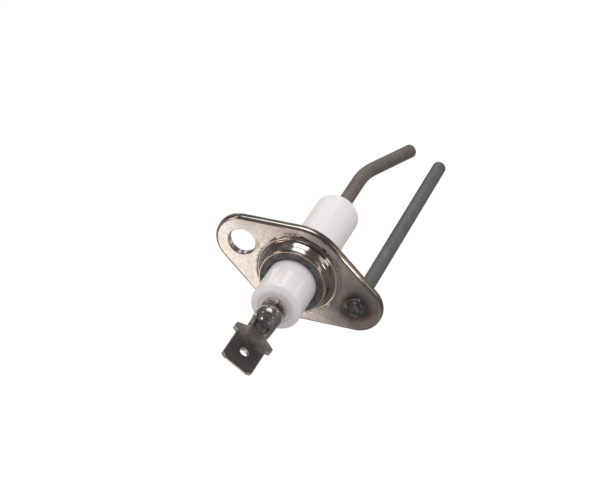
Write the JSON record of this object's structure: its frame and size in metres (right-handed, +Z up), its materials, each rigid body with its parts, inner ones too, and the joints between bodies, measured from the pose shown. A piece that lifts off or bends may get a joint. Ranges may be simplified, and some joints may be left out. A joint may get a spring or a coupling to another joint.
{
  "type": "ignition electrode",
  "caption": "Boiler ignition electrode: a two-lobed flange holds a ceramic insulator with a bent spark rod and a straight ground rod, wired by a blade terminal.",
  "frame": {"origin": "centre of the flange's seating face, on the insulator's axis", "axes": "+Y along the insulator into the burner, towards the rod tips; +X from the insulator to the ground rod; +Z up"},
  "size_m": [0.0341, 0.0831, 0.0196],
  "materials": {
    "plated_steel": "bright nickel-plated pressed steel, brown heat tint round the rivet",
    "glazed_ceramic": "white glazed alumina",
    "graphite_packing": "matt black compressed graphite packing",
    "oxidised_alloy": "heat-resistant alloy wire, matt brown oxide",
    "dark_alloy": "heat-resistant alloy wire, satin dark grey oxide",
    "terminal_steel": "satin dark steel sheet with brown heat patches",
    "washer_steel": "tarnished spring steel",
    "refractory_cement": "pale grey refractory cement"
  },
  "bodies": {
    "root": {"blade_terminal": "terminal_steel", "bore_cement": "refractory_cement", "ceramic_insulator": "glazed_ceramic", "front_packing_ring": "graphite_packing", "ground_electrode_rod": "dark_alloy", "mounting_flange": "plated_steel", "rear_packing_ring": "graphite_packing", "rear_retaining_ring": "plated_steel", "spark_electrode_rod": "oxidised_alloy", "split_washer": "washer_steel"}
  },
  "joints": []
}
